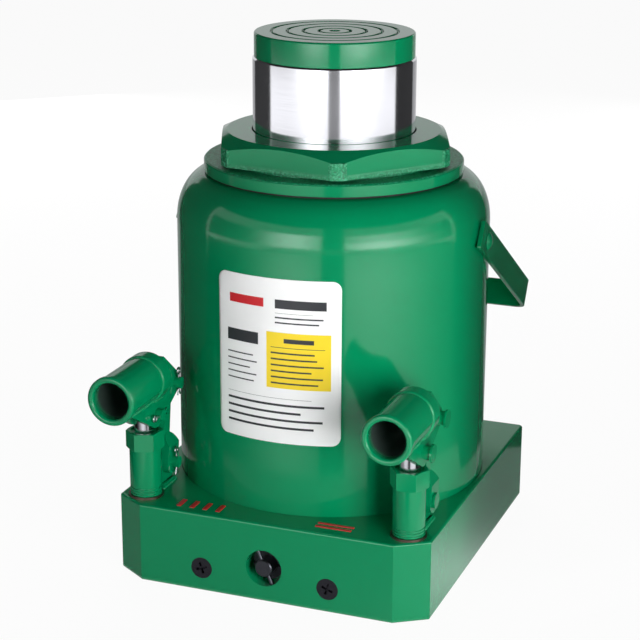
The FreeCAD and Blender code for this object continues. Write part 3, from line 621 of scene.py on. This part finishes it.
# %% [markdown]
# ## Raised bars on the base
# Six low bars on the base's top are picked out in red: four short ones at the left and two long ones at
# the right. A brush leaves the red a little uneven, so noise changes both its colour and its gloss. The
# bars could be separate cubes, but as instances of one block on a row of points they share one size.

# %% Red bars
red_paint = Finish("red_paint")
red_grain = red_paint.noise(per_mm=0.7)
red_bar_finish = red_paint.close({
    "Base Color": red_paint.blend(red_grain * 0.6, colour(196, 22, 30), colour(150, 10, 18)),
    "Roughness": 0.3 + 0.15 * red_grain,
    "Normal": red_paint.bump(red_grain, 0.04),
})

bars = Pattern("bar_row", {"Size": "NodeSocketVector"})
block = bars.node("GeometryNodeMeshCube", {}, {"Size": bars.entry["Size"]})
bar_inputs = {"Points": bars.entry["Geometry"], "Instance": block}
bars.end(bars.node("GeometryNodeInstanceOnPoints", {}, bar_inputs), red_bar_finish)


def add_bars(name, points, size_mm):
    """A row of bars with soft edges, a little sunk into the base's top."""
    piece = bars.grow(name, points, {"Size": [length * MM for length in size_mm]})
    soft = piece.modifiers.new("soft edge", "BEVEL")
    soft.width = 0.35 * MM
    soft.segments = 2
    settled(piece)
    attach(piece, node_body["base_block"])


bar_middle = base_top + 0.1
left_row_x, left_row_y = -64.5, -114.6
left_row_pitch = 9.4
left_bar_size = (3.2, 11.0, 1.0)
right_row_x = 45.0
right_row_ys = (-112.2, -117.4)
right_bar_size = (25.0, 2.2, 1.0)
left_places = [(left_row_x + left_row_pitch * i, left_row_y, bar_middle) for i in range(4)]
right_places = [(right_row_x, y, bar_middle) for y in right_row_ys]
add_bars("left_bars", left_places, left_bar_size)
add_bars("right_bars", right_places, right_bar_size)
print("bars on the base:", len(left_places) + len(right_places))

# %% [markdown]
# ## The plate on the tank
# A thin white plate wraps round the front of the tank. It could be bent from a flat sheet, but its
# points are easier to set straight on the tank's radius, row by row, with round corners. Solidify gives
# it a thickness. It is printed with blocks and ruled lines, drawn by shader maths from how far a point
# lies round the tank and up it.

# %% The plate's sheet
tank_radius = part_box("reservoir_shell")[1][0] / MM
plate_middle = math.radians(-89.85)
plate_half_width = 43.6
plate_foot = 105.3
plate_height = 111.7
plate_corner = 6.0
plate_thickness = 0.3
plate_clearance = 0.02
corner_steps = 8
straight_steps = 24


def plate_rows():
    """Heights from the plate's foot and the half width there, finer in the corners."""
    rows = []
    for i in range(corner_steps + 1):
        turn = math.radians(90 * i / corner_steps)
        height = plate_corner * (1 - math.cos(turn))
        half = plate_half_width - plate_corner * (1 - math.sin(turn))
        rows.append((height, half))
    straight = plate_height - 2 * plate_corner
    for i in range(1, straight_steps):
        rows.append((plate_corner + straight * i / straight_steps, plate_half_width))
    lower_corner = rows[:corner_steps + 1]
    rows += [(plate_height - height, half) for height, half in reversed(lower_corner)]
    return rows


def plate_sheet(columns=56):
    """The sheet's points and faces, row by row on the tank's radius."""
    reach = tank_radius + plate_clearance
    points = []
    faces = []
    for height, half in plate_rows():
        for i in range(columns + 1):
            angle = plate_middle + half * (2 * i / columns - 1) / tank_radius
            place = Vector((reach * math.cos(angle), reach * math.sin(angle), plate_foot + height))
            points.append(place * MM)
    for row in range(len(plate_rows()) - 1):
        for i in range(columns):
            corner = row * (columns + 1) + i
            faces.append((corner, corner + 1, corner + columns + 2, corner + columns + 1))
    mesh = bpy.data.meshes.new("tank_plate")
    mesh.from_pydata(points, [], faces)
    return mesh


# %% The plate's finish
red_ink = colour(206, 28, 36)
black_ink = colour(44, 46, 50)
yellow_ink = colour(244, 214, 34)
line_share = 0.86
ragged_share = 0.12
ragged_turn = 2.4

# A block has its ink, then left, right, foot and top in millimetres.
printed_blocks = (
    (red_ink, -34.0, -8.0, 92.0, 98.0),
    (black_ink, 0.0, 34.0, 92.0, 98.0),
    (yellow_ink, -6.0, 37.0, 38.0, 76.0),
    (black_ink, 6.0, 26.0, 69.0, 72.0),
    (black_ink, -36.0, -12.0, 66.0, 74.0),
)
# A ruled field has its four edges, then the pitch of its lines and the share of it that a line takes.
ruled_fields = (
    (0.0, 34.0, 82.0, 89.0, 3.4, 0.3),
    (-3.0, 34.0, 41.0, 66.0, 4.1, 0.26),
    (-36.0, -12.0, 40.0, 61.0, 4.4, 0.2),
    (-36.0, 36.0, 10.0, 31.0, 5.2, 0.3),
)


def inside(across, up, left, right, low, high):
    """1 within a rectangle on the plate, in millimetres from its middle line and its foot."""
    return (across > left) * (across < right) * (up > low) * (up < high)


def ruled(across, up, left, right, low, high, pitch, share):
    """Fine ruled lines with ragged ends within a rectangle."""
    line = (up - low) / pitch
    number = line - line.part()
    ragged = (number * ragged_turn).wave() * ragged_share + line_share
    length = (right - left) * ragged
    return inside(across, up, left, right, low, high) * (line.part() < share) * (across < length + left)


def plate_finish():
    """White sheet with printed blocks and ruled lines."""
    print_coat = Finish("plate_print")
    x, y, z = print_coat.axes()
    turn = print_coat.node("ShaderNodeMath", {"operation": "ARCTAN2"}, {0: y, 1: x})
    across = (turn - plate_middle) * tank_radius
    up = z - plate_foot
    clouds = print_coat.noise(per_mm=0.08)
    tone = print_coat.blend(clouds * 0.5, colour(250, 250, 250), colour(240, 241, 242))
    for ink, *edges in printed_blocks:
        tone = print_coat.blend(inside(across, up, *edges), tone, ink)
    for edges in ruled_fields:
        tone = print_coat.blend(ruled(across, up, *edges), tone, black_ink)
    return print_coat.close({
        "Base Color": tone,
        "Roughness": 0.28 + 0.1 * clouds,
        "Specular IOR Level": 0.4,
        "Normal": print_coat.bump(clouds, 0.03),
    })


plate = add_piece("tank_plate", plate_sheet())
plate.data.materials.append(plate_finish())
plate.data.shade_smooth()
thick = plate.modifiers.new("thickness", "SOLIDIFY")
thick.thickness = plate_thickness * MM
thick.offset = 1.0
settled(plate)
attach(plate, node_body["reservoir_shell"])
print("plate faces:", len(plate.data.polygons))

# %% [markdown]
# ## The white room
# The jack stands on white paper in front of white paper. A white room all round would also flood the
# jack with light and wash its shading out. So the world and the paper are white only for rays from the
# camera, from gloss and through glass, and the jack is lit by a dim grey and by the lamps.

# %% World and floor
def background_share(tree):
    """1 for rays from the camera, from gloss and through glass; 0 for light on the object."""
    path = tree.nodes.new("ShaderNodeLightPath")
    total = path.outputs["Is Camera Ray"]
    for name in ("Is Glossy Ray", "Is Transmission Ray"):
        add = tree.nodes.new("ShaderNodeMath")
        add.operation = "MAXIMUM"
        tree.links.new(total, add.inputs[0])
        tree.links.new(path.outputs[name], add.inputs[1])
        total = add.outputs[0]
    return total


paper_white = (1.0, 1.0, 1.0, 1.0)
paper_grey = (0.9, 0.9, 0.9, 1.0)
fill_grey = (0.1, 0.1, 0.1, 1.0)
paper_lift = 0.95
floor_half = 6.0


def make_world():
    world = bpy.data.worlds.new("white_room")
    world.use_nodes = True
    tree = world.node_tree
    mix = tree.nodes.new("ShaderNodeMix")
    mix.data_type = "RGBA"
    mix.inputs[6].default_value = fill_grey
    mix.inputs[7].default_value = paper_white
    tree.links.new(background_share(tree), mix.inputs[0])
    tree.links.new(mix.outputs[2], tree.nodes["Background"].inputs["Color"])
    bpy.context.scene.world = world


def paper_material():
    """White paper: lit by the lamps, and lifted towards white where it is looked at."""
    material = bpy.data.materials.new("white_paper")
    material.use_nodes = True
    tree = material.node_tree
    tree.nodes.clear()
    matt = tree.nodes.new("ShaderNodeBsdfDiffuse")
    matt.inputs["Color"].default_value = paper_grey
    glow = tree.nodes.new("ShaderNodeEmission")
    glow.inputs["Color"].default_value = paper_white
    lift = tree.nodes.new("ShaderNodeMath")
    lift.operation = "MULTIPLY"
    lift.inputs[1].default_value = paper_lift
    tree.links.new(background_share(tree), lift.inputs[0])
    mix = tree.nodes.new("ShaderNodeMixShader")
    tree.links.new(lift.outputs[0], mix.inputs[0])
    tree.links.new(matt.outputs[0], mix.inputs[1])
    tree.links.new(glow.outputs[0], mix.inputs[2])
    output = tree.nodes.new("ShaderNodeOutputMaterial")
    tree.links.new(mix.outputs[0], output.inputs["Surface"])
    return material


def add_floor():
    mesh = bpy.data.meshes.new("paper_floor")
    reach = floor_half
    corners = [(-reach, -reach, 0), (reach, -reach, 0), (reach, reach, 0), (-reach, reach, 0)]
    mesh.from_pydata(corners, [], [(0, 1, 2, 3)])
    mesh.materials.append(paper_material())
    add_piece("paper_floor", mesh)


make_world()
add_floor()
print("paper floor in metres:", 2 * floor_half, "square")

# %% [markdown]
# ## Cards that only gloss sees
# Glossy paint and chrome show what stands round them. Two long soft boxes stand left and right of the
# camera with a dim gap between them, and the gloss shows them as two bright bands with a deep green
# strip in the middle. Black boards at the sides put the dark bands on the ram. Real lamps of that size
# would light everything else too, so each card is a curved strip that only reflections see. Its
# brightness is an attribute of its points, so that a card can fade from side to side. A flag is the
# opposite: nothing sees it, but it casts a shadow and keeps the key lamp off the carrying bail.

# %% Cards and flags
card_white = (1.0, 1.0, 1.02, 1.0)
card_step_deg = 3
fewest_steps = 4


def glow_material(name):
    """A card's material: it shines as brightly as the mesh's own attribute says."""
    material = bpy.data.materials.new(name)
    material.use_nodes = True
    tree = material.node_tree
    tree.nodes.clear()
    level = tree.nodes.new("ShaderNodeAttribute")
    level.attribute_name = "glow"
    glow = tree.nodes.new("ShaderNodeEmission")
    glow.inputs["Color"].default_value = card_white
    tree.links.new(level.outputs["Fac"], glow.inputs["Strength"])
    output = tree.nodes.new("ShaderNodeOutputMaterial")
    tree.links.new(glow.outputs[0], output.inputs["Surface"])
    return material


def stage_card(name, mesh, keeps_light_off):
    """Puts up a card that the camera doesn't see: either gloss sees it, or it casts a shadow."""
    mesh.materials.append(glow_material(name))
    card = add_piece(name, mesh)
    card.visible_camera = False
    card.visible_diffuse = False
    card.visible_transmission = False
    card.visible_glossy = not keeps_light_off
    card.visible_shadow = keeps_light_off


def add_flag(name, start, end, top):
    """An upright black card between a lamp and the part of the jack that it should leave dark."""
    mesh = bpy.data.meshes.new(name)
    foot = 0.02
    mesh.from_pydata([(*start, foot), (*end, foot), (*end, top), (*start, top)], [], [(0, 1, 2, 3)])
    stage_card(name, mesh, True)


def add_card(name, bearings_deg, outline, brightness):
    """A curved card that only reflections see. Its brightness is a number or a function of place."""
    start, end = bearings_deg
    steps = max(fewest_steps, round(abs(end - start) / card_step_deg))
    points = []
    levels = []
    faces = []
    for i in range(steps + 1):
        bearing = start + (end - start) * i / steps
        angle = camera_bearing + math.radians(bearing)
        for radius, height in outline:
            points.append((radius * math.cos(angle), radius * math.sin(angle), height))
            levels.append(brightness(bearing, radius) if callable(brightness) else brightness)
    row = len(outline)
    for i in range(steps):
        for j in range(row - 1):
            corner = i * row + j
            faces.append((corner, corner + 1, corner + row + 1, corner + row))
    mesh = bpy.data.meshes.new(name)
    mesh.from_pydata(points, [], faces)
    mesh.attributes.new("glow", "FLOAT", "POINT").data.foreach_set("value", levels)
    stage_card(name, mesh, False)


# %% [markdown]
# ## How bright each card is
# An upright wall of the jack shows the table close by, and one that leans back shows the soft boxes.
# Each function gives the brightness for a bearing, in degrees to the right of the camera, and for a
# distance from the jack's axis in metres. Plain numbers would give hard borders, so bell curves make
# the light fall off to both sides.

# %% Levels
table_start = 0.3
lamp_row_start = 0.95
lamp_row_end = 1.38
box_bend = 2.135
box_rim = 2.155
box_edge = 0.12
box_top = 0.75
left_box_peak = 5.2
right_box_peak = 3.4
right_box_foot_peak = 6.5
left_peak_deg = -27
right_peak_deg = 26
right_box_peak_deg = 33


def bell(value, middle, width):
    return math.exp(-((value - middle) / width) ** 2)


def beside_gap(bearing, left_width, right_width):
    """1 beside the camera's gap, falling off towards both sides."""
    if bearing > 0:
        return bell(bearing, right_peak_deg, right_width)
    return bell(bearing, left_peak_deg, left_width)


def table_level(bearing, radius):
    """The table in gloss: lit beside the gap, dim under the lamps, white beyond them."""
    if radius < lamp_row_start:
        return (0.75 + 2.0 * (radius - table_start)) * beside_gap(bearing, 23, 40)
    if radius < lamp_row_end:
        return 0.1 + 0.75 * beside_gap(bearing, 34, 46)
    return 1.15


def foot_level(bearing, radius):
    """The table close to the jack, in its shade except at the right."""
    return 0.25 + 0.75 * bell(bearing, 48, 32)


def box_level(bearing, radius):
    """The soft boxes: dim along the top; the right one is wider, and brightest at its foot."""
    if radius > box_rim:
        return box_top
    if bearing > 0:
        peak = right_box_foot_peak if radius < box_bend else right_box_peak
        return box_edge + peak * bell(bearing, right_box_peak_deg, 28)
    return box_edge + left_box_peak * bell(bearing, left_peak_deg, 20)


def behind_level(bearing, radius):
    """The floor behind the jack, which only the grazing edges of the ram and the tank show."""
    return 0.28 + 0.35 * bell(bearing, 177.5, 25)


def gap_level(bearing, radius):
    """The dim gap below the camera, with the pale table edge that the ram shows as a grey strip."""
    return 0.3 if 1.35 < radius < 2.08 else 0.06


print("table beside the gap:", round(table_level(right_peak_deg, table_start), 2))
print("right box at its foot:", round(box_level(right_box_peak_deg, 2.12), 2))

# %% [markdown]
# ## Putting up the cards
# A card's outline is a few distances and heights, and the card is that outline turned round the jack's
# axis between two bearings. Twelve calls would do, but a table shows at a glance what stands where: the
# lit table and the soft boxes in front, boards at the sides, a wall behind and a dark ceiling.

# %% Put up the cards
# A row is a card's outline: distances from the jack's axis and heights, in metres.
table_rows = [(table_start + 0.05 * i, 0.004) for i in range(37)]
foot_rows = [(0.1, 0.002), (0.33, 0.002)]
box_rows = [(2.12, 0.01), (2.13, 0.3), (2.14, 0.45), (2.15, 0.78), (2.16, 0.88), (2.2, 1.45)]
gap_rows = [(0.3, 0.006), (1.3, 0.006), (1.42, 0.006), (2.05, 0.008), (2.1, 0.02), (2.1, 1.5)]
board_rows = [(0.24, 0.003), (0.85, 0.003), (0.85, 0.95)]
behind_rows = [(0.24, 0.003), (0.85, 0.003), (0.85, 0.25)]
wall_rows = [(0.86, 0.003), (2.5, 0.003), (2.5, 1.04)]
front_ceiling_rows = [(2.3, 1.5), (1.7, 2.3), (0.0, 2.8)]
back_ceiling_rows = [(2.5, 1.05), (1.8, 2.2), (0.0, 2.8)]
# A card has the bearings that it reaches round, its rows and its brightness.
cards = {
    "table_left": ((-98, -7), table_rows, table_level),
    "table_right": ((7, 92), table_rows, table_level),
    "softbox_left": ((-98, -7), box_rows, box_level),
    "softbox_right": ((7, 92), box_rows, box_level),
    "camera_gap": ((-8, 7.5), gap_rows, gap_level),
    "left_board": ((-146, -98), board_rows, 0.035),
    "right_board": ((92, 142), board_rows, 0.03),
    "table_foot": ((-180, 180), foot_rows, foot_level),
    "floor_behind": ((142, 214), behind_rows, behind_level),
    "back_wall": ((104, 256), wall_rows, 0.72),
    "front_ceiling": ((-104, 104), front_ceiling_rows, 0.02),
    "back_ceiling": ((104, 256), back_ceiling_rows, 0.02),
}
for name, settings in cards.items():
    add_card(name, *settings)
add_flag("right_flag", (0.168, -0.08), (0.368, 0.144), 0.45)
print("cards:", len(cards), "and one flag")

# %% [markdown]
# ## The lamps
# The lamps light the paint, and gloss doesn't see them. The key lamp stands low at the right and a weak
# fill at the left. Three lamps behind the jack draw its tops and edges off the white paper. A lamp's
# power in watts says little, so each is given the light that it puts on a face that looks at it.

# %% Lamps
aim_height = 0.17
# A lamp has its bearing in degrees, its height, distance and size in metres, and its light.
lamps = {
    "key_lamp": (28, 0.26, 1.0, 0.5, 0.88),
    "fill_lamp": (-45, 0.3, 1.5, 0.5, 0.13),
    "high_back_lamp": (180, 1.35, 1.1, 0.7, 0.5),
    "left_back_lamp": (-158, 0.3, 1.7, 0.6, 0.4),
    "right_back_lamp": (150, 0.3, 1.7, 0.6, 0.4),
}


def add_lamp(name, bearing_deg, height, distance, size, light):
    """A square soft lamp. Its light of 1 shows a colour as written on a face that looks at it."""
    data = bpy.data.lights.new(name, "AREA")
    data.size = size
    data.energy = light * (math.pi * distance) ** 2
    lamp = bpy.data.objects.new(name, data)
    bpy.context.scene.collection.objects.link(lamp)
    angle = camera_bearing + math.radians(bearing_deg)
    place = Vector((distance * math.cos(angle), distance * math.sin(angle), height))
    target = Vector((0, 0, aim_height))
    aim = (target - place).to_track_quat("-Z", "Y").to_matrix().to_4x4()
    lamp.matrix_world = Matrix.Translation(place) @ aim
    lamp.visible_camera = False
    lamp.visible_glossy = False


for name, settings in lamps.items():
    add_lamp(name, *settings)
print("lamps:", len(lamps))

# %% [markdown]
# The Standard view shows a colour as it was written.

# %% Finish
bpy.context.scene.view_settings.view_transform = "Standard"
